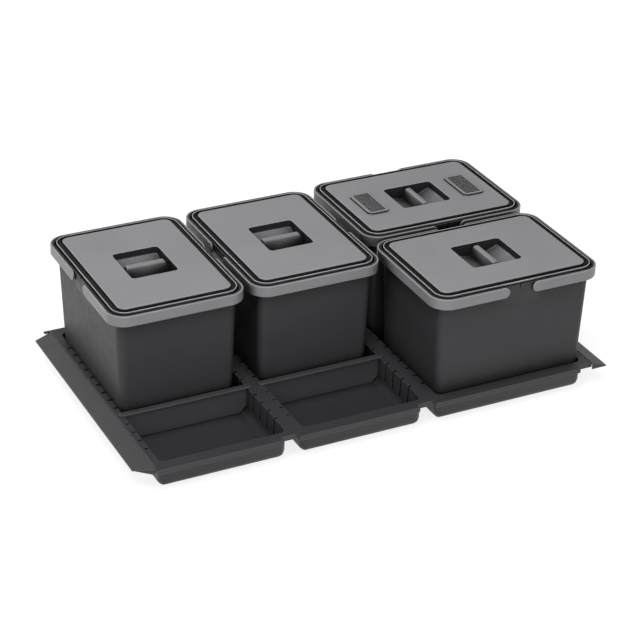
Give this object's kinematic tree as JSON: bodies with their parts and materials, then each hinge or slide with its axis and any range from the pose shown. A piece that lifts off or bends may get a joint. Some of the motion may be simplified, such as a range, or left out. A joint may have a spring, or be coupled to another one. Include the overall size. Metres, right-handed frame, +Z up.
{
  "type": "drawer waste-sorting set",
  "caption": "Wide drawer tray with tubs and slot-in dividers that holds lidded waste bins with fold-down bail handles; one lid has filtered vents.",
  "frame": {"origin": "middle of the tray's three tubs in plan, on the plane that the tray stands on", "axes": "+X to the right along the drawer front, +Y to the back of the drawer, +Z up"},
  "size_m": [0.8318, 0.4734, 0.2335],
  "materials": {
    "tray_plastic": "fine moulded texture",
    "divider_plastic": "fine moulded texture",
    "bin_plastic": "fine moulded texture",
    "handle_plastic": "satin",
    "lid_plastic": "satin",
    "strip_rubber": "matt",
    "grille_plastic": "satin",
    "filter_felt": "felt"
  },
  "bodies": {
    "tray": {"base_tray": "tray_plastic"},
    "left_divider": {"left_divider": "divider_plastic"},
    "middle_divider": {"middle_divider": "divider_plastic"},
    "left_bin": {"left_bin_body": "bin_plastic"},
    "left_bin_lid": {"left_bin_lid": "lid_plastic", "left_bin_lid_strip": "strip_rubber"},
    "left_bin_front_handle": {"left_bin_front_handle": "handle_plastic"},
    "left_bin_back_handle": {"left_bin_back_handle": "handle_plastic"},
    "middle_bin": {"middle_bin_body": "bin_plastic"},
    "middle_bin_lid": {"middle_bin_lid": "lid_plastic", "middle_bin_lid_strip": "strip_rubber"},
    "middle_bin_front_handle": {"middle_bin_front_handle": "handle_plastic"},
    "middle_bin_back_handle": {"middle_bin_back_handle": "handle_plastic"},
    "rear_right_bin": {"rear_right_bin_body": "bin_plastic"},
    "rear_right_bin_lid": {"rear_right_bin_lid": "lid_plastic", "rear_right_bin_lid_strip": "strip_rubber", "right_filter_pad": "filter_felt", "left_filter_pad": "filter_felt"},
    "rear_right_bin_right_handle": {"rear_right_bin_right_handle": "handle_plastic"},
    "rear_right_bin_left_handle": {"rear_right_bin_left_handle": "handle_plastic"},
    "front_right_bin": {"front_right_bin_body": "bin_plastic"},
    "front_right_bin_lid": {"front_right_bin_lid": "lid_plastic", "front_right_bin_lid_strip": "strip_rubber"},
    "front_right_bin_right_handle": {"front_right_bin_right_handle": "handle_plastic"},
    "front_right_bin_left_handle": {"front_right_bin_left_handle": "handle_plastic"},
    "right_vent_grille": {"right_vent_grille": "grille_plastic"},
    "left_vent_grille": {"left_vent_grille": "grille_plastic"}
  },
  "joints": [
    {"name": "left_divider_lift", "type": "slide", "parent": "tray", "child": "left_divider", "axis": [0, 0, 1], "range_m": [0, 0.05]},
    {"name": "middle_divider_lift", "type": "slide", "parent": "tray", "child": "middle_divider", "axis": [0, 0, 1], "range_m": [0, 0.05]},
    {"name": "left_bin_lift", "type": "slide", "parent": "tray", "child": "left_bin", "axis": [0, 0, 1], "range_m": [0, 0.26]},
    {"name": "left_bin_lid_lift", "type": "slide", "parent": "left_bin", "child": "left_bin_lid", "axis": [0, 0, 1], "range_m": [0, 0.15]},
    {"name": "left_bin_front_handle_hinge", "type": "hinge", "parent": "left_bin", "child": "left_bin_front_handle", "pos_m": [-0.27795, 0.04163, 0.21745], "axis": [-1, 0, 0], "range_deg": [0, 98]},
    {"name": "left_bin_back_handle_hinge", "type": "hinge", "parent": "left_bin", "child": "left_bin_back_handle", "pos_m": [-0.27795, 0.10262, 0.21745], "axis": [1, 0, 0], "range_deg": [0, 98]},
    {"name": "middle_bin_lift", "type": "slide", "parent": "tray", "child": "middle_bin", "axis": [0, 0, 1], "range_m": [0, 0.26]},
    {"name": "middle_bin_lid_lift", "type": "slide", "parent": "middle_bin", "child": "middle_bin_lid", "axis": [0, 0, 1], "range_m": [0, 0.15]},
    {"name": "middle_bin_front_handle_hinge", "type": "hinge", "parent": "middle_bin", "child": "middle_bin_front_handle", "pos_m": [-0.039, 0.04163, 0.21745], "axis": [-1, 0, 0], "range_deg": [0, 98]},
    {"name": "middle_bin_back_handle_hinge", "type": "hinge", "parent": "middle_bin", "child": "middle_bin_back_handle", "pos_m": [-0.039, 0.10262, 0.21745], "axis": [1, 0, 0], "range_deg": [0, 98]},
    {"name": "rear_right_bin_lift", "type": "slide", "parent": "tray", "child": "rear_right_bin", "axis": [0, 0, 1], "range_m": [0, 0.26]},
    {"name": "rear_right_bin_lid_lift", "type": "slide", "parent": "rear_right_bin", "child": "rear_right_bin_lid", "axis": [0, 0, 1], "range_m": [0, 0.15]},
    {"name": "rear_right_bin_right_handle_hinge", "type": "hinge", "parent": "rear_right_bin", "child": "rear_right_bin_right_handle", "pos_m": [0.27095, 0.11879, 0.21745], "axis": [0, -1, 0], "range_deg": [0, 98]},
    {"name": "rear_right_bin_left_handle_hinge", "type": "hinge", "parent": "rear_right_bin", "child": "rear_right_bin_left_handle", "pos_m": [0.20995, 0.11879, 0.21745], "axis": [0, 1, 0], "range_deg": [0, 98]},
    {"name": "front_right_bin_lift", "type": "slide", "parent": "tray", "child": "front_right_bin", "axis": [0, 0, 1], "range_m": [0, 0.26]},
    {"name": "front_right_bin_lid_lift", "type": "slide", "parent": "front_right_bin", "child": "front_right_bin_lid", "axis": [0, 0, 1], "range_m": [0, 0.15]},
    {"name": "front_right_bin_right_handle_hinge", "type": "hinge", "parent": "front_right_bin", "child": "front_right_bin_right_handle", "pos_m": [0.26895, -0.11897, 0.21745], "axis": [0, -1, 0], "range_deg": [0, 98]},
    {"name": "front_right_bin_left_handle_hinge", "type": "hinge", "parent": "front_right_bin", "child": "front_right_bin_left_handle", "pos_m": [0.20795, -0.11897, 0.21745], "axis": [0, 1, 0], "range_deg": [0, 98]},
    {"name": "right_vent_grille_lift", "type": "slide", "parent": "rear_right_bin_lid", "child": "right_vent_grille", "axis": [0, 0, 1], "range_m": [0, 0.025]},
    {"name": "left_vent_grille_lift", "type": "slide", "parent": "rear_right_bin_lid", "child": "left_vent_grille", "axis": [0, 0, 1], "range_m": [0, 0.025]}
  ]
}
